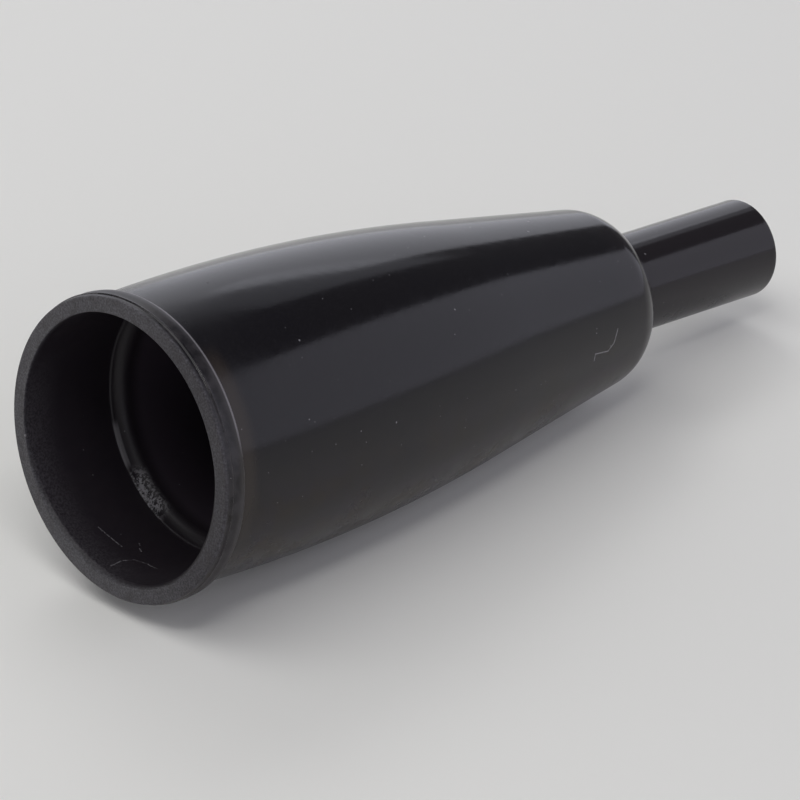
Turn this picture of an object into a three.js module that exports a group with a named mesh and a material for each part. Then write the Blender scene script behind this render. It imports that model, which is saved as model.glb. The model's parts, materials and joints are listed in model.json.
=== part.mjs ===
// Open-mouthed rubber blower bulb: one hollow rubber moulding, lying on its side.
//
// Its wide mouth has a flat lip with a bead around it. Behind the lip a plain
// counterbore ends on a round-nosed ledge, and the narrower cavity behind the
// ledge runs back to the shoulder. A plain tubular neck leaves the shoulder, and
// its bore opens the cavity to the far end.
//
// Frame: millimetres, +Z up. The part rests on z = 0 on its belly, mouth towards
// -X and neck towards +X, and its axis lies in the XZ plane, dipping towards the
// neck. The origin is below the middle of its bounding box, on the surface.

import * as THREE from 'three';

// Driving dimensions: millimetres, and degrees for angles.
const LENGTH = 165;
const SIDES = 48;

const LIP_RADIUS = 28;
const LIP_FRONT_DEPTH = 2.3;
const LIP_FRONT_ROUND = 1.4;
const BEAD_REAR_ROUND = 0.8;
const BEAD_ROOT_FILLET = 0.6;

const BELLY_RADIUS = 27.25;
const BELLY_AT = 26.7;
const BELLY_ARC_RADIUS = 376;
const BELLY_START_ANGLE = -3.26;
const TAPER_ANGLE = 8.6;

const SHOULDER_AT = 118.2;
const SHOULDER_ROUND = 8.8;
const NECK_ROOT_FILLET = 1.3;
const NECK_RADIUS = 9.7;
const NECK_BORE_RADIUS = 7.4;

const COUNTERBORE_RADIUS = 24.9;
const COUNTERBORE_DEPTH = 20.5;
const CAVITY_RADIUS = 22.3;
const CAVITY_TAPER_AT = 62;
const CAVITY_TAPER_ANGLE = 7.2;
const DOME_AT = 115;
const DOME_ROUND = 7.4;

// The axis dips by this angle when the bulb lies at rest: the middle of the
// belly flat that then carries it is square to the surface.
const REST_TILT = 6.1;

const radians = THREE.MathUtils.degToRad;

// A point on an arc in the axial section, as [distance from the mouth, radius].
// The angle turns from outwards (0) through towards the neck (90).
function onArc([along, radius], arcRadius, angle) {
  const turn = radians(angle);
  return [along + arcRadius * Math.sin(turn), radius + arcRadius * Math.cos(turn)];
}

function arc(centre, arcRadius, fromAngle, toAngle, steps) {
  const points = [];
  for (let i = 0; i <= steps; i += 1) {
    points.push(onArc(centre, arcRadius, fromAngle + ((toAngle - fromAngle) * i) / steps));
  }
  return points;
}

// A quarter of an oval, from its front out to its crown.
function quarterOval([along, radius], depth, rise, steps) {
  const points = [];
  for (let i = 0; i <= steps; i += 1) {
    const turn = (Math.PI / 2) * (i / steps);
    points.push([along - depth * Math.cos(turn), radius + rise * Math.sin(turn)]);
  }
  return points;
}

// The centre of an arc that is tangent to a surface at a point, on its inner side.
function centreBelow(point, arcRadius, angle) {
  return onArc(point, -arcRadius, angle);
}

function lip(bodyStart) {
  const rearFace = bodyStart[0] - BEAD_ROOT_FILLET;
  const frontCentre = [LIP_FRONT_DEPTH, LIP_RADIUS - LIP_FRONT_ROUND];
  const rearCentre = [rearFace - BEAD_REAR_ROUND, LIP_RADIUS - BEAD_REAR_ROUND];
  const rootCentre = [bodyStart[0], bodyStart[1] + BEAD_ROOT_FILLET];
  return [
    ...quarterOval(frontCentre, LIP_FRONT_DEPTH, LIP_FRONT_ROUND, 5),
    ...arc(rearCentre, BEAD_REAR_ROUND, 0, 90, 4),
    ...arc(rootCentre, BEAD_ROOT_FILLET, -90, -180, 3).slice(1, -1),
  ];
}

function shoulder(start) {
  const centre = centreBelow(start, SHOULDER_ROUND, TAPER_ANGLE);
  const rise = NECK_RADIUS + NECK_ROOT_FILLET - centre[1];
  const reach = Math.sqrt((SHOULDER_ROUND + NECK_ROOT_FILLET) ** 2 - rise ** 2);
  const rootCentre = [centre[0] + reach, NECK_RADIUS + NECK_ROOT_FILLET];
  const meetAngle = THREE.MathUtils.radToDeg(Math.atan2(reach, rise));
  return [
    ...arc(centre, SHOULDER_ROUND, TAPER_ANGLE, meetAngle, 7),
    ...arc(rootCentre, NECK_ROOT_FILLET, meetAngle + 180, 180, 3).slice(1),
  ];
}

function outerSurface() {
  const bellyCentre = [BELLY_AT, BELLY_RADIUS - BELLY_ARC_RADIUS];
  const bellySteps = Math.round(TAPER_ANGLE - BELLY_START_ANGLE);
  const belly = arc(bellyCentre, BELLY_ARC_RADIUS, BELLY_START_ANGLE, TAPER_ANGLE, bellySteps);
  const [taperAt, taperRadius] = belly.at(-1);
  const drop = (SHOULDER_AT - taperAt) * Math.tan(radians(TAPER_ANGLE));
  return [
    ...lip(belly[0]),
    ...belly,
    ...shoulder([SHOULDER_AT, taperRadius - drop]),
    [LENGTH, NECK_RADIUS],
  ];
}

// The inside, from the neck's end back to the mouth.
function innerSurface() {
  const drop = (DOME_AT - CAVITY_TAPER_AT) * Math.tan(radians(CAVITY_TAPER_ANGLE));
  const domeStart = [DOME_AT, CAVITY_RADIUS - drop];
  const domeCentre = centreBelow(domeStart, DOME_ROUND, CAVITY_TAPER_ANGLE);
  const noseRound = COUNTERBORE_RADIUS - CAVITY_RADIUS;
  const noseCentre = [COUNTERBORE_DEPTH + noseRound, COUNTERBORE_RADIUS];
  return [
    [LENGTH, NECK_BORE_RADIUS],
    [domeCentre[0] + DOME_ROUND, NECK_BORE_RADIUS],
    ...arc(domeCentre, DOME_ROUND, 90, CAVITY_TAPER_ANGLE, 6),
    [CAVITY_TAPER_AT, CAVITY_RADIUS],
    ...arc(noseCentre, noseRound, 180, 270, 4),
    [0, COUNTERBORE_RADIUS],
  ];
}

function bulbMoulding() {
  const section = [...outerSurface(), ...innerSurface()];
  section.push(section[0]);
  const outline = section.map(([along, radius]) => new THREE.Vector2(radius, along));
  // Half a side's turn puts a flat side, not an edge, at the bottom.
  const geometry = new THREE.LatheGeometry(outline, SIDES, Math.PI / SIDES);
  const rubber = new THREE.MeshStandardMaterial({
    color: 0x2b2a2d,
    roughness: 0.42,
    metalness: 0,
  });
  const mesh = new THREE.Mesh(geometry, rubber);
  mesh.name = 'bulb_moulding';
  // The lathe's axis, +Y, turns to +X and dips by the rest tilt.
  mesh.rotation.set(0, radians(REST_TILT), radians(-90), 'YXZ');
  return mesh;
}

function standOnOrigin(mesh) {
  const box = new THREE.Box3().setFromObject(mesh, true);
  const centre = box.getCenter(new THREE.Vector3());
  mesh.position.set(-centre.x, -centre.y, -box.min.z);
}

const bulb = bulbMoulding();
standOnOrigin(bulb);

const part = new THREE.Group();
part.add(bulb);

export default part;
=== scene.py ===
"""Open-mouthed rubber blower bulb, lying on its side on a pale studio floor.

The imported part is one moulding, turned about one axis. This script builds its
fine surface from the same section, gives it a semi-gloss black rubber, and sets
up the floor, the lights and the camera.
"""

import json
import math
from types import SimpleNamespace

import bpy
import numpy as np
from mathutils import Matrix, Vector


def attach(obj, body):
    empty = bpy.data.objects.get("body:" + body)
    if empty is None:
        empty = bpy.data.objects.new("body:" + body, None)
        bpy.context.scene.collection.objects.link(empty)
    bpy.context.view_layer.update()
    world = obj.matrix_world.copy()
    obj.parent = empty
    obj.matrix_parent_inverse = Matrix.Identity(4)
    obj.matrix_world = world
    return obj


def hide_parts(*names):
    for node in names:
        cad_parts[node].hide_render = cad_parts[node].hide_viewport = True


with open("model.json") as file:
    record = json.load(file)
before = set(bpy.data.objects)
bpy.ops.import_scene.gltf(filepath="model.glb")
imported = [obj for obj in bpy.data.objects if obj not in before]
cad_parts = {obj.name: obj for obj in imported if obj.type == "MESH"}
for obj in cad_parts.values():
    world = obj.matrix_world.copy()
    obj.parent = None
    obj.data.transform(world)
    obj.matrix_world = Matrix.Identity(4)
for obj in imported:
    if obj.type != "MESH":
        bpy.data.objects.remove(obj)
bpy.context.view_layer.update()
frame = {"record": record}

# Section of the moulding: millimetres, and degrees for angles.
LENGTH = 165.0
LIP_RADIUS = 28.0
LIP_FRONT_DEPTH = 2.3
BEAD_REAR_ROUND = 0.8
BEAD_ROOT_FILLET = 0.6
BEAD_CROWN = 0.1
BELLY_RADIUS = 27.25
BELLY_AT = 26.7
BELLY_ARC_RADIUS = 376.0
BELLY_START_ANGLE = -3.26
TAPER_ANGLE = 8.6
SHOULDER_AT = 118.2
SHOULDER_ROUND = 8.8
NECK_ROOT_FILLET = 1.3
NECK_RADIUS = 9.7
NECK_BORE_RADIUS = 7.4
COUNTERBORE_RADIUS = 24.9
COUNTERBORE_DEPTH = 20.5
CAVITY_RADIUS = 22.3
CAVITY_TAPER_AT = 62.0
CAVITY_TAPER_ANGLE = 7.2
DOME_AT = 115.0
DOME_ROUND = 7.4

# The lip's front edge as it really is: a small round, then a slight slope up to the bead's crown.
LIP_EDGE_RADIUS = 27.75
LIP_EDGE_ROUND = 0.35

# Small edges that the turned section leaves sharp.
MOUTH_EDGE_ROUND = 0.1
NECK_EDGE_ROUND = 0.3
LEDGE_CORNER_ROUND = 0.5

# Fineness of the mesh: steps along the section in millimetres, and the fewest parts of a run.
SIDES = 288
ARC_STEP = 0.22
STRAIGHT_STEP = 0.9
SMALL_EDGE_STEP = 0.1
LIP_EDGE_STEP = 0.08
LIP_SLOPE_STEP = 0.07
LIP_FACE_STEP = 0.3
SHOULDER_STEP = 0.35
NECK_ROOT_STEP = 0.15
NECK_BORE_STEP = 2.0
DOME_STEP = 0.5
CAVITY_STEP = 1.5
LEDGE_STEP = 0.12
COUNTERBORE_STEP = 0.6
ARC_FEWEST = 6
STRAIGHT_FEWEST = 2
CROWN_PARTS = 10

# Slow waves in the skin: height in mm, waves round the axis, and mm along for one radian more.
# They grow between two places along the axis.
SLOW_WAVES = ((0.035, 2.0, 23.0), (0.02, 5.0, -31.0))
WAVES_START = (8.0, 30.0)

# The trimmed mouth of the bore: height in mm and lobes round the axis, where their crests line up,
# and the depths between which they fade out.
TRIM_LOBES = ((0.24, 3.0), (0.10, 2.0))
TRIM_TURN = 25.0
TRIM_END = (0.5, 9.0)

# The fuller side, below: where it is round the axis, how much it adds to the lip and the belly in mm,
# how much thinner the lip is above, and the depths between which each fades out.
FULLER_AT = 160.0
LIP_FULLER = 0.95
LIP_THINNER = 0.15
LIP_END = (4.4, 5.3)
BELLY_FULLER = 0.55
BELLY_END = (10.0, 110.0)

# The flash line round the bead, and the crease of its root on the underside: millimetres, and
# degrees for the crease's middle and reach round the axis.
FLASH_HEIGHT = 0.21
FLASH_AT = 1.35
FLASH_HALF_WIDTH = 0.36
CREASE_DEPTH = 0.45
CREASE_AT = 5.1
CREASE_HALF_WIDTH = 0.7
CREASE_MIDDLE = 150.0
CREASE_REACH = 75.0

MM = 0.001
FULL_TURN = 360.0


# ---------------------------------------------------------------- section

def on_arc(centre, radius, angle):
    """A point on an arc; the angle turns from outwards (0) towards the neck (90)."""
    turn = math.radians(angle)
    return (centre[0] + radius * math.sin(turn), centre[1] + radius * math.cos(turn))


def arc(centre, radius, start, end, step=ARC_STEP):
    length = radius * math.radians(abs(end - start))
    count = max(ARC_FEWEST, math.ceil(length / step))
    return [on_arc(centre, radius, start + (end - start) * i / count) for i in range(count + 1)]


def straight(start, end, step=STRAIGHT_STEP):
    count = max(STRAIGHT_FEWEST, math.ceil(math.dist(start, end) / step))
    return [
        (start[0] + (end[0] - start[0]) * i / count, start[1] + (end[1] - start[1]) * i / count)
        for i in range(1, count)
    ]


def crowned(start, end, height):
    """A shallow swell between two points at one radius."""
    return [
        (start[0] + (end[0] - start[0]) * t, start[1] + height * math.sin(math.pi * t))
        for t in (i / CROWN_PARTS for i in range(1, CROWN_PARTS))
    ]


def lip(body_start):
    """The flat lip face, its rounded front edge, the bead and the fillet behind it."""
    mouth_edge = (MOUTH_EDGE_ROUND, COUNTERBORE_RADIUS + MOUTH_EDGE_ROUND)
    front = (LIP_EDGE_ROUND, LIP_EDGE_RADIUS - LIP_EDGE_ROUND)
    crown_start = (LIP_FRONT_DEPTH, LIP_RADIUS)
    rear = (body_start[0] - BEAD_ROOT_FILLET - BEAD_REAR_ROUND, LIP_RADIUS - BEAD_REAR_ROUND)
    root = (body_start[0], body_start[1] + BEAD_ROOT_FILLET)
    edge_arc = arc(mouth_edge, MOUTH_EDGE_ROUND, 180, 270)
    front_arc = arc(front, LIP_EDGE_ROUND, 270, 360, LIP_EDGE_STEP)
    rear_arc = arc(rear, BEAD_REAR_ROUND, 0, 90, SMALL_EDGE_STEP)
    root_arc = arc(root, BEAD_ROOT_FILLET, -90, -180, SMALL_EDGE_STEP)
    return (
        edge_arc
        + straight(edge_arc[-1], front_arc[0], LIP_FACE_STEP)
        + front_arc
        + straight(front_arc[-1], crown_start, LIP_SLOPE_STEP)
        + [crown_start]
        + crowned(crown_start, rear_arc[0], BEAD_CROWN)
        + rear_arc
        + root_arc[:-1]
    )


def shoulder(start):
    """The round shoulder at the end of the taper, and the fillet at the root of the neck."""
    centre = on_arc(start, -SHOULDER_ROUND, TAPER_ANGLE)
    rise = NECK_RADIUS + NECK_ROOT_FILLET - centre[1]
    reach = math.sqrt((SHOULDER_ROUND + NECK_ROOT_FILLET) ** 2 - rise ** 2)
    root = (centre[0] + reach, NECK_RADIUS + NECK_ROOT_FILLET)
    meet = math.degrees(math.atan2(reach, rise))
    return (
        arc(centre, SHOULDER_ROUND, TAPER_ANGLE, meet, SHOULDER_STEP)
        + arc(root, NECK_ROOT_FILLET, meet + 180, 180, NECK_ROOT_STEP)[1:]
    )


def outer_surface():
    """From the mouth to the neck's end."""
    belly_centre = (BELLY_AT, BELLY_RADIUS - BELLY_ARC_RADIUS)
    belly = arc(belly_centre, BELLY_ARC_RADIUS, BELLY_START_ANGLE, TAPER_ANGLE, STRAIGHT_STEP)
    taper_at, taper_radius = belly[-1]
    drop = (SHOULDER_AT - taper_at) * math.tan(math.radians(TAPER_ANGLE))
    shoulder_arc = shoulder((SHOULDER_AT, taper_radius - drop))
    neck_edge = (LENGTH - NECK_EDGE_ROUND, NECK_RADIUS - NECK_EDGE_ROUND)
    neck_edge_arc = arc(neck_edge, NECK_EDGE_ROUND, 0, 90, SMALL_EDGE_STEP)
    return (
        lip(belly[0])
        + belly
        + straight(belly[-1], shoulder_arc[0])
        + shoulder_arc
        + straight(shoulder_arc[-1], neck_edge_arc[0])
        + neck_edge_arc
    )


def inner_surface():
    """From the neck's end back to the mouth."""
    bore_edge = (LENGTH - NECK_EDGE_ROUND, NECK_BORE_RADIUS + NECK_EDGE_ROUND)
    bore_edge_arc = arc(bore_edge, NECK_EDGE_ROUND, 90, 180, SMALL_EDGE_STEP)
    drop = (DOME_AT - CAVITY_TAPER_AT) * math.tan(math.radians(CAVITY_TAPER_ANGLE))
    dome = on_arc((DOME_AT, CAVITY_RADIUS - drop), -DOME_ROUND, CAVITY_TAPER_ANGLE)
    dome_arc = arc(dome, DOME_ROUND, 90, CAVITY_TAPER_ANGLE, DOME_STEP)
    taper_start = (CAVITY_TAPER_AT, CAVITY_RADIUS)
    nose_round = COUNTERBORE_RADIUS - CAVITY_RADIUS
    nose = (COUNTERBORE_DEPTH + nose_round, COUNTERBORE_RADIUS)
    corner_turn = math.degrees(math.asin(LEDGE_CORNER_ROUND / nose_round))
    nose_arc = arc(nose, nose_round, 180, 270 - corner_turn, LEDGE_STEP)
    corner = (nose_arc[-1][0] - LEDGE_CORNER_ROUND, COUNTERBORE_RADIUS - LEDGE_CORNER_ROUND)
    corner_arc = arc(corner, LEDGE_CORNER_ROUND, 90, 0, SMALL_EDGE_STEP)
    bore_start = (dome[0] + DOME_ROUND, NECK_BORE_RADIUS)
    mouth_edge = (MOUTH_EDGE_ROUND, COUNTERBORE_RADIUS)
    return (
        bore_edge_arc
        + straight(bore_edge_arc[-1], bore_start, NECK_BORE_STEP)
        + [bore_start]
        + straight(bore_start, dome_arc[0])
        + dome_arc
        + straight(dome_arc[-1], taper_start, CAVITY_STEP)
        + [taper_start]
        + straight(taper_start, nose_arc[0], CAVITY_STEP)
        + nose_arc
        + corner_arc[1:]
        + straight(corner_arc[-1], mouth_edge, COUNTERBORE_STEP)
    )


# ---------------------------------------------------------------- moulding

def smooth_step(value, low, high):
    """0 up to the low value, 1 from the high value on, and a smooth rise between them."""
    t = np.clip((value - low) / (high - low), 0.0, 1.0)
    return t * t * (3.0 - 2.0 * t)


def bump_at(value, middle, half_width):
    """1 at the middle, falling smoothly to 0 at half a width from it."""
    return 1.0 - smooth_step(np.abs(value - middle), 0.0, half_width)


def around_from(angle, middle):
    """The angle from a place around the axis, in degrees, between -180 and 180."""
    return (angle - middle + FULL_TURN / 2) % FULL_TURN - FULL_TURN / 2


def relief(along, around, outside):
    """How far each point stands out from the turned section, in millimetres."""
    turn = np.radians(around)
    waves = sum(height * np.sin(count * turn + along / pitch) for height, count, pitch in SLOW_WAVES)
    lift = waves * smooth_step(along, *WAVES_START) * outside

    # The bore was trimmed slightly out of round at the mouth.
    at_mouth = (1.0 - outside) * (1.0 - smooth_step(along, *TRIM_END))
    trim_turn = turn - math.radians(TRIM_TURN)
    lift += sum(height * np.cos(lobes * trim_turn) for height, lobes in TRIM_LOBES) * at_mouth

    # The core sat a little high in the mould, so the lip and the belly are fuller below.
    below = 0.5 + 0.5 * np.cos(np.radians(around - FULLER_AT))
    behind = smooth_step(along, *LIP_END)
    lift += (LIP_FULLER * below - LIP_THINNER) * (1.0 - behind) * outside
    lift += BELLY_FULLER * below * behind * (1.0 - smooth_step(along, *BELLY_END)) * outside

    # A thin flash line runs round the front of the bead where the halves of the mould met.
    lift += FLASH_HEIGHT * bump_at(along, FLASH_AT, FLASH_HALF_WIDTH) * outside

    # The bead's root is a deeper crease on the underside.
    underside = bump_at(np.abs(around_from(around, CREASE_MIDDLE)), 0.0, CREASE_REACH)
    lift -= CREASE_DEPTH * bump_at(along, CREASE_AT, CREASE_HALF_WIDTH) * underside * outside
    return lift


def moulding_mesh(mouth, dip):
    """The mesh in the part's own frame, with the place in the section kept as an attribute."""
    outer = outer_surface()
    inner = inner_surface()
    section = np.array(outer + inner)
    rows = len(section)
    outside = np.concatenate([np.ones(len(outer)), np.zeros(len(inner))])
    around = np.arange(SIDES) * FULL_TURN / SIDES
    along, angle = np.meshgrid(section[:, 0], around, indexing="ij")
    radius = np.repeat(section[:, 1:2], SIDES, axis=1)
    side = np.repeat(outside[:, None], SIDES, axis=1)
    radius = radius + relief(along, angle, side)
    turn = np.radians(angle)
    own = np.stack([along, -radius * np.sin(turn), radius * np.cos(turn)], axis=-1).reshape(-1, 3)
    rest = np.array(Matrix.Rotation(dip, 3, "Y"))
    places = own @ rest.T * MM + np.array(mouth)
    # The belly is pressed flat where it carries the weight.
    places[:, 2] = np.maximum(places[:, 2], 0.0)

    here = np.arange(rows * SIDES).reshape(rows, SIDES)
    beside = np.roll(here, -1, axis=1)
    faces = np.stack(
        [here, np.roll(here, -1, axis=0), np.roll(beside, -1, axis=0), beside], axis=-1
    )
    mesh = bpy.data.meshes.new("rubber_bulb")
    mesh.from_pydata(places.tolist(), [], faces.reshape(-1, 4).tolist())
    mesh.update()
    mesh.polygons.foreach_set("use_smooth", np.ones(len(mesh.polygons), bool))
    mark = mesh.attributes.new("outside", "FLOAT", "POINT")
    mark.data.foreach_set("value", side.reshape(-1).astype(np.float32))
    spot = mesh.attributes.new("own_place", "FLOAT_VECTOR", "POINT")
    spot.data.foreach_set("vector", own.reshape(-1).astype(np.float32))
    return mesh


# ---------------------------------------------------------------- shader helpers

# Sockets of the Mix node that carry colours.
MIX_FACTOR = 0
MIX_FIRST = 6
MIX_SECOND = 7
MIX_RESULT = 2


def node(tree, kind, inputs=None, **settings):
    """A shader node; each input is a value, or the socket that feeds it."""
    made = tree.nodes.new(kind)
    for name, value in settings.items():
        setattr(made, name, value)
    for name, value in (inputs or {}).items():
        if isinstance(value, bpy.types.NodeSocket):
            tree.links.new(value, made.inputs[name])
        else:
            made.inputs[name].default_value = value
    return made


def sums(tree, operation, *values, clamp=False):
    """The result of one Math node."""
    inputs = dict(enumerate(values))
    return node(tree, "ShaderNodeMath", inputs, operation=operation, use_clamp=clamp).outputs[0]


def ramp(tree, value, low, high, to_low=0.0, to_high=1.0):
    """A smooth change from to_low to to_high as the value goes from low to high."""
    inputs = {"Value": value, "From Min": low, "From Max": high, "To Min": to_low, "To Max": to_high}
    return node(tree, "ShaderNodeMapRange", inputs, interpolation_type="SMOOTHSTEP").outputs[0]


def noise(tree, place, scale, detail=2.0, roughness=0.5):
    inputs = {"Vector": place, "Scale": scale, "Detail": detail, "Roughness": roughness}
    return node(tree, "ShaderNodeTexNoise", inputs).outputs["Fac"]


def mix_colour(tree, factor, first, second):
    """The first colour where the factor is 0, and the second where it is 1."""
    inputs = {MIX_FACTOR: factor, MIX_FIRST: first, MIX_SECOND: second}
    return node(tree, "ShaderNodeMix", inputs, data_type="RGBA").outputs[MIX_RESULT]


def colour(red, green, blue):
    return (red, green, blue, 1.0)


def new_material(name):
    material = bpy.data.materials.new(name)
    material.use_nodes = True
    tree = material.node_tree
    return material, tree, tree.nodes["Principled BSDF"]


# ---------------------------------------------------------------- masks

# The solid core of a stroke, as a share of its half width, and the least radius of a speck, as a
# share of its size.
STROKE_CORE = 0.3
SPECK_LEAST = 0.4


def stroke(tree, along, across, start, end, half_width):
    """1 on a straight stroke between two places on the surface, fading to 0 beside it."""
    run = (end[0] - start[0], end[1] - start[1])
    length_squared = run[0] ** 2 + run[1] ** 2
    from_along = sums(tree, "SUBTRACT", along, start[0])
    from_across = sums(tree, "SUBTRACT", across, start[1])
    reach = sums(tree, "MULTIPLY", from_along, run[0] / length_squared)
    share = sums(tree, "MULTIPLY_ADD", from_across, run[1] / length_squared, reach, clamp=True)
    off_along = sums(tree, "MULTIPLY_ADD", share, -run[0], from_along)
    off_across = sums(tree, "MULTIPLY_ADD", share, -run[1], from_across)
    across_square = sums(tree, "MULTIPLY", off_across, off_across)
    square = sums(tree, "MULTIPLY_ADD", off_along, off_along, across_square)
    return ramp(tree, sums(tree, "SQRT", square), half_width, half_width * STROKE_CORE)


def specks(tree, place, spacing, size, share):
    """Small round specks: one at most in each cell, and only in some of the cells."""
    cells = node(tree, "ShaderNodeTexVoronoi", {"Vector": place, "Scale": 1.0 / spacing}).outputs
    chosen = node(tree, "ShaderNodeSeparateColor", {"Color": cells["Color"]}).outputs
    big = sums(tree, "MULTIPLY_ADD", chosen["Green"], size / spacing, SPECK_LEAST * size / spacing)
    spot = sums(tree, "LESS_THAN", cells["Distance"], big)
    return sums(tree, "MULTIPLY", spot, sums(tree, "LESS_THAN", chosen["Red"], share))


def stretched(tree, place, scale):
    return node(tree, "ShaderNodeMapping", {"Vector": place, "Scale": scale}).outputs[0]


def either(tree, *masks):
    """The strongest of the masks."""
    total = masks[0]
    for mask in masks[1:]:
        total = sums(tree, "MAXIMUM", total, mask)
    return total


def both(tree, *masks):
    """All of the masks at once."""
    total = masks[0]
    for mask in masks[1:]:
        total = sums(tree, "MULTIPLY", total, mask)
    return total


def between(tree, value, low, high, soft):
    """1 between two values, fading out over the soft width beyond each."""
    rise = ramp(tree, value, low - soft, low)
    return both(tree, rise, ramp(tree, value, high + soft, high))


# ---------------------------------------------------------------- rubber

# Noises of the skin: cycles per millimetre, detail and roughness.
CLOUD = (0.045, 3.0)
MOTTLE = (0.42, 4.0, 0.6)
GRAIN = (2.6, 2.0, 0.6)
PATCHES = (0.16, 3.0, 0.6)
BLOOM_PATCHES = (0.09, 2.0, 0.5)
TORN = (1.0, 3.0)

# Stretches of the skin with a finish of their own or with painted light, in millimetres from the mouth or
# in degrees around from up, towards the camera side. A fade is (from, to); a span is (from, to, soft
# edge).
LIP_FACE_FADE = (0.9, 0.25)
BEAD_SPAN = (0.9, 5.4, 0.3)
FLASH_SPAN = (1.0, 1.7, 0.2)
# The rear edge's span and reach hold a painted highlight: a pale line on the bead's rear edge, on its
# upper side.
REAR_EDGE_HIGHLIGHT_SPAN = (4.0, 4.9, 0.2)
REAR_EDGE_HIGHLIGHT_AROUND = (-20.0, 62.0, 15.0)
BEHIND_LIP_SPAN = (5.3, 6.4, 3.2)
BEHIND_LIP_AROUND = (42.0, 105.0, 14.0)
NEAR_LIP_FADE = (24.0, 5.0)
NEAR_LIP_AROUND = (-30.0, 50.0, 25.0)
NECK_DUST_FADE = (110.0, 124.0)
NECK_EDGE_FADE = (164.6, 164.85)
# The lip face is darker on this side.
DARKER_SIDE_AROUND = (40.0, 125.0, 40.0)
BLOOM_FADE = (74.0, 116.0)
SMOOTH_SIDE_FADE = (92.0, 118.0)
LEDGE_SPAN = (20.4, 22.6, 0.3)
LEDGE_FRONT_FADE = (22.8, 20.7)
# The ledge line is a painted highlight along the ledge's front edge, on one stretch round the axis.
LEDGE_HIGHLIGHT_SPAN = (20.2, 20.6, 0.15)
LEDGE_HIGHLIGHT_AROUND = (-128.0, -114.0, 5.0)
SCUFFED_AROUND = (-152.0, -139.0, 9.0)
CAVITY_FADE = (22.5, 26.0)
DUSTY_BORE_FADE = (9.0, 1.0)
BORE_DUST_FADE = (20.0, 16.0)

# This one is counted on past 180 degrees, across the underside.
DUSTY_BORE_UNDER = (190.0, 265.0, 35.0)

# Where a noise shows: its low and high value, and the strengths there if they aren't 0 and 1.
GRAIN_SHOWS = (0.48, 0.78, 0.0, 0.7)
MOTTLE_ON_BEAD = (0.35, 0.65)
BLOOM_SHOWS = (0.20, 0.75, 0.25, 1.0)
BLOOM_CHANGES_TINT = (0.40, 0.60)
GRAIN_IN_DUSTY_BORE = (0.3, 0.7)
GRAIN_ON_CUT = (0.32, 0.70)
MOTTLE_ON_CUT = (0.45, 0.7, 0.0, 0.45)
DUST_PATCHES = (0.40, 0.50)
FINE_DUST_PATCHES = (0.42, 0.58)
SHOULDER_SCRATCH_BROKEN = (0.3, 0.6, 0.2, 0.65)
BORE_SCRATCH_BROKEN = (0.38, 0.58, 0.05, 0.5)
TORN_SHOWS = (0.44, 0.56)

# Tints of the rubber, and the colour of a painted highlight.
SKIN_COOL = colour(0.0045, 0.0040, 0.0070)
SKIN_WARM = colour(0.0062, 0.0050, 0.0062)
SKIN_GRAIN = colour(0.0125, 0.0115, 0.0140)
BLOOM_VIOLET = colour(0.0150, 0.0105, 0.0140)
BLOOM_BROWN = colour(0.0180, 0.0115, 0.0070)
NECK_DUST_TINT = colour(0.0130, 0.0105, 0.0130)
BEHIND_LIP_TINT = colour(0.0230, 0.0175, 0.0150)
BEAD_TINT = colour(0.024, 0.021, 0.024)
# A painted highlight: the pale line along the bead's rear edge.
REAR_EDGE_PAINTED_HIGHLIGHT = colour(0.150, 0.140, 0.150)
BORE_DARK = colour(0.0135, 0.0105, 0.0150)
BORE_PALE = colour(0.0190, 0.0150, 0.0185)
CAVITY_TINT = colour(0.050, 0.040, 0.052)
DUSTY_BORE_TINT = colour(0.050, 0.046, 0.052)
CUT_DARK = colour(0.040, 0.038, 0.042)
# The lip face is darker on one side; these two colours are used there.
CUT_DARK_DARKER_SIDE = colour(0.020, 0.018, 0.021)
CUT_PALE = colour(0.098, 0.094, 0.105)
CUT_PALE_DARKER_SIDE = colour(0.072, 0.068, 0.078)
CUT_BROWN = colour(0.030, 0.025, 0.026)
NECK_EDGE_TINT = colour(0.045, 0.034, 0.028)
# The pale colour of the marks, also used for the painted highlight along the ledge's edge.
MARK_AND_HIGHLIGHT_TINT = colour(0.34, 0.33, 0.35)

# Specks: spacing and size in millimetres, and the share of the cells that have one. A stretch below
# 1 draws the specks out that way.
DUST = (4.2, 0.19, 0.30)
FINE_DUST = (1.5, 0.11, 0.30)
FIBRES = (6.5, 0.15, 0.30)
BORE_DUST = (3.4, 0.13, 0.25)
PITS = (9.0, 0.16, 0.3)
FIBRE_STRETCH = (0.25, 1.0, 1.0)
BORE_DUST_STRETCH = (1.0, 0.5, 1.0)
PIT_STRETCH = (1.0, 1.0, 1.3)

# Scratches, as (mm from the mouth, degrees around); the bore's are counted on past 180 degrees,
# across the underside.
SHOULDER_SCRATCH = ((101.6, 93.5), (101.8, 89.8), (106.0, 91.8), (107.8, 88.5), (108.9, 81.0))
BORE_SCRATCHES = (
    ((7.5, 208.0), (8.2, 201.0), (8.6, 195.0)),
    ((2.6, 186.0), (5.6, 187.0), (7.8, 185.0), (8.7, 180.0), (8.6, 173.0)),
    ((12.2, 193.5), (12.0, 192.3)),
    ((11.2, 190.5), (10.9, 188.5)),
)
SHOULDER_SCRATCH_HALF_WIDTH = 0.19
BORE_SCRATCH_HALF_WIDTH = 0.17

# The length of one degree around, in millimetres.
DEGREE_AT_BODY = 0.36
DEGREE_AT_BORE = 0.43

# How strongly each kind of mark shows.
DUST_STRENGTH = 0.6
FINE_DUST_STRENGTH = 0.4
# The ledge line is a painted highlight.
LEDGE_HIGHLIGHT_STRENGTH = 0.45
MARK_AND_HIGHLIGHT_STRENGTH = 0.8

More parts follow.
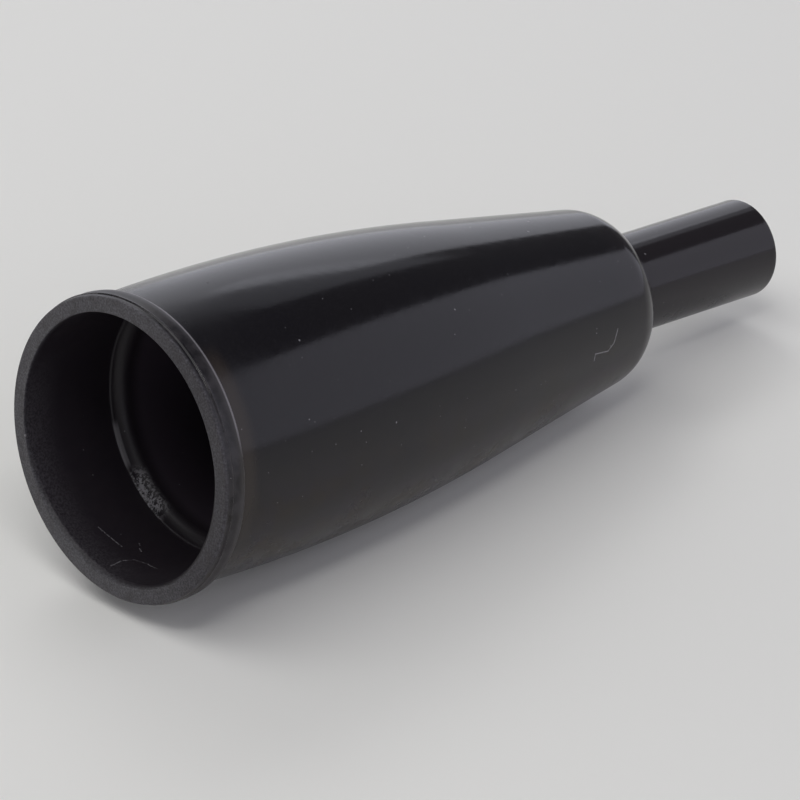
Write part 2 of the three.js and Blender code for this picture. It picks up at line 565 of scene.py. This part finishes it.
# The skin's roughness follows the mottle, and these stretches add to it.
SKIN_ROUGHNESS = (0.3, 0.7, 0.11, 0.16)
ROUGHER = {
    "lip_face": 0.40,
    "bead": 0.16,
    "inside": 0.32,
    "marks": 0.35,
    "bloom": 0.17,
    "near_lip": 0.12,
    "pits": 0.3,
    "flash_line": -0.15,
}

# Relief of the skin: shares of each noise, and the depth of the whole in millimetres.
MOTTLE_RELIEF = 0.7
GRAIN_RELIEF = 0.16
MATT_RELIEF = 0.5
SMOOTH_SIDE_SHARE = 0.9
RELIEF_STRENGTH = 0.3
RELIEF_DEPTH = 0.06
RUBBER_IOR = 1.4


def skin_places(tree):
    """Where each point of the skin is, and the noises that its finish shares."""
    place = node(tree, "ShaderNodeAttribute", attribute_name="own_place").outputs["Vector"]
    outside = node(tree, "ShaderNodeAttribute", attribute_name="outside").outputs["Fac"]
    parts = node(tree, "ShaderNodeSeparateXYZ", {"Vector": place}).outputs
    turn = sums(tree, "ARCTAN2", sums(tree, "MULTIPLY", parts["Y"], -1.0), parts["Z"])
    around = sums(tree, "DEGREES", turn)
    return SimpleNamespace(
        place=place,
        along=parts["X"],
        around=around,
        # The same angle counted from below, so that it runs on smoothly across the underside.
        under=sums(tree, "FLOORED_MODULO", around, FULL_TURN),
        outside=outside,
        inside=sums(tree, "SUBTRACT", 1.0, outside),
        cloud=noise(tree, place, *CLOUD),
        mottle=noise(tree, place, *MOTTLE),
        grain=noise(tree, place, *GRAIN),
        patches=noise(tree, place, *PATCHES),
    )


def outer_zones(tree, skin):
    """Masks for the stretches outside."""
    along = skin.along
    around = skin.around
    outside = skin.outside
    near_lip = both(tree, ramp(tree, along, *NEAR_LIP_FADE), between(tree, around, *NEAR_LIP_AROUND))
    # A painted highlight: a pale line on the bead's rear edge, on its upper side only.
    rear_edge_highlight = both(tree, between(tree, along, *REAR_EDGE_HIGHLIGHT_SPAN), between(tree, around, *REAR_EDGE_HIGHLIGHT_AROUND))
    behind_lip = between(tree, along, *BEHIND_LIP_SPAN)
    behind_lip = both(tree, behind_lip, between(tree, around, *BEHIND_LIP_AROUND))
    bloom_patches = ramp(tree, noise(tree, skin.place, *BLOOM_PATCHES), *BLOOM_SHOWS)
    bloom = both(tree, ramp(tree, around, *BLOOM_FADE), bloom_patches)
    return {
        "lip_face": both(tree, ramp(tree, along, *LIP_FACE_FADE), outside),
        "bead": both(tree, between(tree, along, *BEAD_SPAN), outside),
        "flash_line": both(tree, between(tree, along, *FLASH_SPAN), outside),
        "rear_edge_highlight": both(tree, rear_edge_highlight, outside),
        "behind_lip": both(tree, behind_lip, outside),
        "near_lip": both(tree, near_lip, outside),
        "neck_dust": both(tree, ramp(tree, along, *NECK_DUST_FADE), outside),
        "bloom": both(tree, bloom, outside),
        "smooth_side": both(tree, ramp(tree, around, *SMOOTH_SIDE_FADE, 0.0, SMOOTH_SIDE_SHARE), outside),
    }


def inner_zones(tree, skin):
    """Masks for the stretches inside, and for the neck's end."""
    along = skin.along
    inside = skin.inside
    dusty = both(tree, ramp(tree, along, *DUSTY_BORE_FADE), between(tree, skin.under, *DUSTY_BORE_UNDER))
    return {
        "inside": inside,
        "ledge": both(tree, between(tree, along, *LEDGE_SPAN), inside),
        "cavity": both(tree, ramp(tree, along, *CAVITY_FADE), inside),
        "dusty_bore": both(tree, dusty, inside),
        "neck_edge": ramp(tree, along, *NECK_EDGE_FADE),
    }


def cut_colour(tree, skin):
    """The trimmed, speckled lip face; darker on one side."""
    darker_side = between(tree, skin.around, *DARKER_SIDE_AROUND)
    dark = mix_colour(tree, darker_side, CUT_DARK, CUT_DARK_DARKER_SIDE)
    pale = mix_colour(tree, darker_side, CUT_PALE, CUT_PALE_DARKER_SIDE)
    cut = mix_colour(tree, ramp(tree, skin.grain, *GRAIN_ON_CUT), dark, pale)
    return mix_colour(tree, ramp(tree, skin.mottle, *MOTTLE_ON_CUT), cut, CUT_BROWN)


def clean_colour(tree, skin, zones):
    """The rubber's colour before any marks, with a painted highlight on the bead's rear edge; each layer
    lies over the ones before it.
    """
    bloom_tint = mix_colour(tree, ramp(tree, skin.patches, *BLOOM_CHANGES_TINT), BLOOM_VIOLET, BLOOM_BROWN)
    bore_tint = mix_colour(tree, skin.mottle, BORE_DARK, BORE_PALE)
    bead_mottle = both(tree, zones["bead"], ramp(tree, skin.mottle, *MOTTLE_ON_BEAD))
    bore_dust = both(tree, zones["dusty_bore"], ramp(tree, skin.grain, *GRAIN_IN_DUSTY_BORE))
    layers = (
        (ramp(tree, skin.grain, *GRAIN_SHOWS), SKIN_GRAIN),
        (zones["bloom"], bloom_tint),
        (zones["neck_dust"], NECK_DUST_TINT),
        (zones["behind_lip"], BEHIND_LIP_TINT),
        (bead_mottle, BEAD_TINT),
        # A painted highlight along the bead's rear edge.
        (zones["rear_edge_highlight"], REAR_EDGE_PAINTED_HIGHLIGHT),
        (zones["inside"], bore_tint),
        (zones["cavity"], CAVITY_TINT),
        (bore_dust, DUSTY_BORE_TINT),
        (zones["lip_face"], cut_colour(tree, skin)),
        (zones["neck_edge"], NECK_EDGE_TINT),
    )
    tint = mix_colour(tree, skin.cloud, SKIN_COOL, SKIN_WARM)
    for mask, layer in layers:
        tint = mix_colour(tree, mask, tint, layer)
    return tint


def scratch(tree, along, around, places, degree, half_width):
    """A line of strokes through the places; degree is the length of one degree around, in mm."""
    across = sums(tree, "MULTIPLY", around, degree)
    path = [(place[0], place[1] * degree) for place in places]
    legs = zip(path, path[1:])
    return either(tree, *(stroke(tree, along, across, start, end, half_width) for start, end in legs))


def scratches(tree, skin):
    """The zigzag near the shoulder, and the strokes in the bore."""
    along = skin.along
    width = SHOULDER_SCRATCH_HALF_WIDTH
    on_shoulder = scratch(tree, along, skin.around, SHOULDER_SCRATCH, DEGREE_AT_BODY, width)
    width = BORE_SCRATCH_HALF_WIDTH
    in_bore = [scratch(tree, along, skin.under, path, DEGREE_AT_BORE, width) for path in BORE_SCRATCHES]
    shoulder_broken = ramp(tree, skin.grain, *SHOULDER_SCRATCH_BROKEN)
    bore_broken = ramp(tree, skin.grain, *BORE_SCRATCH_BROKEN)
    return either(
        tree,
        both(tree, on_shoulder, skin.outside, shoulder_broken),
        both(tree, either(tree, *in_bore), bore_broken, skin.inside),
    )


def dust_and_fibres(tree, skin):
    """Dust all over, fibres outside, and drawn-out specks in the bore."""
    place = skin.place
    dust_patches = ramp(tree, skin.patches, *DUST_PATCHES)
    fine_dust_patches = ramp(tree, skin.patches, *FINE_DUST_PATCHES)
    dust = both(tree, specks(tree, place, *DUST), dust_patches, skin.outside)
    fibres = both(tree, specks(tree, stretched(tree, place, FIBRE_STRETCH), *FIBRES), skin.outside)
    fine_dust = both(tree, specks(tree, place, *FINE_DUST), fine_dust_patches)
    bore_specks = specks(tree, stretched(tree, place, BORE_DUST_STRETCH), *BORE_DUST)
    bore_dust = both(tree, bore_specks, skin.inside, ramp(tree, skin.along, *BORE_DUST_FADE))
    return either(
        tree,
        sums(tree, "MULTIPLY", either(tree, dust, fibres), DUST_STRENGTH),
        sums(tree, "MULTIPLY", either(tree, fine_dust, bore_dust), FINE_DUST_STRENGTH),
    )


def ledge_marks_and_highlight(tree, skin, ledge):
    """A scuffed, torn stretch of the ledge, and a painted highlight: a thin pale line along its front
    edge.
    """
    tearing = sums(tree, "ADD", skin.grain, noise(tree, skin.place, *TORN))
    torn = ramp(tree, sums(tree, "MULTIPLY", tearing, 0.5), *TORN_SHOWS)
    front = ramp(tree, skin.along, *LEDGE_FRONT_FADE)
    scuffed = both(tree, ledge, front, between(tree, skin.around, *SCUFFED_AROUND), torn)
    # A painted highlight: a thin pale line along the ledge's front edge.
    line = between(tree, skin.along, *LEDGE_HIGHLIGHT_SPAN)
    line = both(tree, line, between(tree, skin.around, *LEDGE_HIGHLIGHT_AROUND), skin.inside)
    return either(tree, sums(tree, "MULTIPLY", line, LEDGE_HIGHLIGHT_STRENGTH), scuffed)


def skin_relief(tree, skin, zones):
    """Fine relief: more on the matt stretches, less low on the camera side."""
    mottle = sums(tree, "MULTIPLY", skin.mottle, MOTTLE_RELIEF)
    height = sums(tree, "ADD", mottle, sums(tree, "MULTIPLY", skin.grain, GRAIN_RELIEF))
    matt = either(tree, zones["lip_face"], zones["bead"], zones["ledge"])
    height = sums(tree, "MULTIPLY_ADD", both(tree, matt, skin.grain), MATT_RELIEF, height)
    height = sums(tree, "MULTIPLY", height, sums(tree, "SUBTRACT", 1.0, zones["smooth_side"]))
    inputs = {"Height": height, "Strength": RELIEF_STRENGTH, "Distance": RELIEF_DEPTH * MM}
    return node(tree, "ShaderNodeBump", inputs).outputs["Normal"]


def rubber_material():
    """Semi-gloss black rubber with bloom, grain, dust, marks of use and two painted highlights."""
    material, tree, shader = new_material("black_rubber")
    skin = skin_places(tree)
    zones = {**outer_zones(tree, skin), **inner_zones(tree, skin)}
    zones["pits"] = both(tree, specks(tree, stretched(tree, skin.place, PIT_STRETCH), *PITS), skin.outside)
    # The marks include a painted highlight along the ledge's front edge.
    zones["marks"] = either(
        tree,
        scratches(tree, skin),
        dust_and_fibres(tree, skin),
        ledge_marks_and_highlight(tree, skin, zones["ledge"]),
    )
    marks_and_highlight = sums(tree, "MULTIPLY", zones["marks"], MARK_AND_HIGHLIGHT_STRENGTH)
    tint = mix_colour(tree, marks_and_highlight, clean_colour(tree, skin, zones), MARK_AND_HIGHLIGHT_TINT)
    rough = ramp(tree, skin.mottle, *SKIN_ROUGHNESS)
    for name, extra in ROUGHER.items():
        rough = sums(tree, "MULTIPLY_ADD", zones[name], extra, rough)
    tree.links.new(tint, shader.inputs["Base Color"])
    tree.links.new(rough, shader.inputs["Roughness"])
    tree.links.new(skin_relief(tree, skin, zones), shader.inputs["Normal"])
    shader.inputs["IOR"].default_value = RUBBER_IOR
    return material


# ---------------------------------------------------------------- floor material

# Tints, cloud and dust as for the rubber, but in metres.
FLOOR_COOL = colour(0.853, 0.846, 0.812)
FLOOR_WARM = colour(0.866, 0.860, 0.828)
FLOOR_DUST_TINT = colour(0.30, 0.28, 0.26)
FLOOR_CLOUD = (6.0, 3.0)
FLOOR_DUST = (0.024, 0.00035, 0.35)
FLOOR_DUST_SHARE = 0.35
FLOOR_ROUGHNESS = 0.75
FLOOR_SPECULAR = 0.3


def floor_material():
    """A pale matt floor with a little dust."""
    material, tree, shader = new_material("pale_floor")
    place = node(tree, "ShaderNodeTexCoord").outputs["Object"]
    tint = mix_colour(tree, noise(tree, place, *FLOOR_CLOUD), FLOOR_COOL, FLOOR_WARM)
    dust = sums(tree, "MULTIPLY", specks(tree, place, *FLOOR_DUST), FLOOR_DUST_SHARE)
    tree.links.new(mix_colour(tree, dust, tint, FLOOR_DUST_TINT), shader.inputs["Base Color"])
    shader.inputs["Roughness"].default_value = FLOOR_ROUGHNESS
    shader.inputs["Specular IOR Level"].default_value = FLOOR_SPECULAR
    return material


# ---------------------------------------------------------------- pieces

def link(name, data):
    made = bpy.data.objects.new(name, data)
    bpy.context.scene.collection.objects.link(made)
    return made


def add_bulb():
    """The bulb, hung on the mouth's place and axis as the frame gives them."""
    mounts = {mount["name"]: mount for mount in frame["record"]["mounts"]}
    mouth = mounts["mouth_face"]
    axis = -Vector(mouth["axis"])
    dip = math.atan2(-axis.z, axis.x)
    mouth_centre = (mouth["pos_m"][0], 0.0, mouth["pos_m"][2])
    bulb = link("rubber_bulb", moulding_mesh(mouth_centre, dip))
    bulb.data.materials.append(rubber_material())
    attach(bulb, "root")
    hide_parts("bulb_moulding")


# ---------------------------------------------------------------- studio

FLOOR_HALF = 14.0
WHITE = (1.0, 1.0, 1.0)

# Upright panels: azimuth in degrees; distance, bottom, top and width in metres; radiance; tint.
WALLS = {
    "backdrop": (50, 1.1, 0.0, 0.795, 1.05, 1.06, (0.90, 0.91, 1.0)),
    "side_card": (-68, 1.5, 0.0, 1.6, 9.2, 0.90, (0.88, 0.88, 1.0)),
    "left_wall": (120, 1.2, 0.0, 0.55, 1.6, 1.2, WHITE),
}

# Panels in the air: azimuth and elevation in degrees; distance, width and height in metres;
# radiance; tint.
SOFTBOXES = {
    "back_softbox": (66, 46, 1.3, 0.62, 0.4, 2.9, WHITE),
    "back_fade": (29, 38, 1.3, 0.50, 0.42, 0.44, (0.88, 0.90, 1.0)),
    "top_softbox": (178, 66, 1.1, 1.2, 0.7, 1.66, WHITE),
    "edge_strip": (232, 56, 1.3, 0.40, 0.10, 11.0, WHITE),
    "front_fill": (240, 34, 1.4, 0.9, 0.5, 0.2, WHITE),
}

WORLD_TINT = colour(0.98, 0.98, 1.0)
WORLD_STRENGTH = 0.12


def add_floor():
    corners = [(-FLOOR_HALF, -FLOOR_HALF, 0), (FLOOR_HALF, -FLOOR_HALF, 0)]
    corners += [(FLOOR_HALF, FLOOR_HALF, 0), (-FLOOR_HALF, FLOOR_HALF, 0)]
    mesh = bpy.data.meshes.new("floor")
    mesh.from_pydata(corners, [], [(0, 1, 2, 3)])
    floor = link("floor", mesh)
    mesh.materials.append(floor_material())


def add_panel(name, centre, target, width, height, radiance, tint):
    """A soft light panel facing a target, given by the radiance of its face."""
    light = bpy.data.lights.new(name, "AREA")
    light.shape = "RECTANGLE"
    light.size = width
    light.size_y = height
    light.energy = radiance * math.pi * width * height
    light.color = tint
    panel = link(name, light)
    panel.location = centre
    direction = Vector(target) - Vector(centre)
    panel.rotation_euler = direction.to_track_quat("-Z", "Y").to_euler()
    panel.visible_camera = False


def heading(azimuth, distance, height):
    """A place at that distance and height, in the direction of the azimuth."""
    turn = math.radians(azimuth)
    return (distance * math.cos(turn), distance * math.sin(turn), height)


def add_wall(name, azimuth, distance, bottom, top, width, radiance, tint):
    """An upright panel, facing the part from that side."""
    middle = (bottom + top) / 2
    centre = heading(azimuth, distance, middle)
    add_panel(name, centre, (0, 0, middle), width, top - bottom, radiance, tint)


def add_softbox(name, azimuth, elevation, distance, width, height, radiance, tint):
    """A panel up in the air, aimed at the part."""
    rise = math.radians(elevation)
    centre = heading(azimuth, distance * math.cos(rise), distance * math.sin(rise))
    add_panel(name, centre, (0, 0, 0), width, height, radiance, tint)


def add_lights():
    for name, wall in WALLS.items():
        add_wall(name, *wall)
    for name, softbox in SOFTBOXES.items():
        add_softbox(name, *softbox)


def add_world():
    world = bpy.data.worlds.new("studio")
    bpy.context.scene.world = world
    world.use_nodes = True
    background = world.node_tree.nodes["Background"]
    background.inputs["Color"].default_value = WORLD_TINT
    background.inputs["Strength"].default_value = WORLD_STRENGTH


# ---------------------------------------------------------------- camera

# Place in metres, heading and downward angle in degrees, lens and sensor in millimetres.
CAMERA_PLACE = (-0.58617, -0.58580, 0.45518)
CAMERA_HEADING = 45.535
CAMERA_DOWN = 28.14
CAMERA_LENS = 225.0
CAMERA_SENSOR = 36.0
CAMERA_SHIFT_X = -0.0006
CAMERA_SHIFT_Y = -0.0038
CAMERA_NEAREST = 0.01
CAMERA_FARTHEST = 100.0


def add_camera():
    data = bpy.data.cameras.new("camera")
    data.lens = CAMERA_LENS
    data.sensor_width = CAMERA_SENSOR
    data.shift_x = CAMERA_SHIFT_X
    data.shift_y = CAMERA_SHIFT_Y
    data.clip_start = CAMERA_NEAREST
    data.clip_end = CAMERA_FARTHEST
    camera = link("camera", data)
    camera.location = CAMERA_PLACE
    camera.rotation_euler = (math.radians(90.0 - CAMERA_DOWN), 0.0, math.radians(CAMERA_HEADING - 90.0))
    bpy.context.scene.camera = camera
    bpy.context.scene.view_settings.view_transform = "Standard"


add_bulb()
add_floor()
add_lights()
add_world()
add_camera()
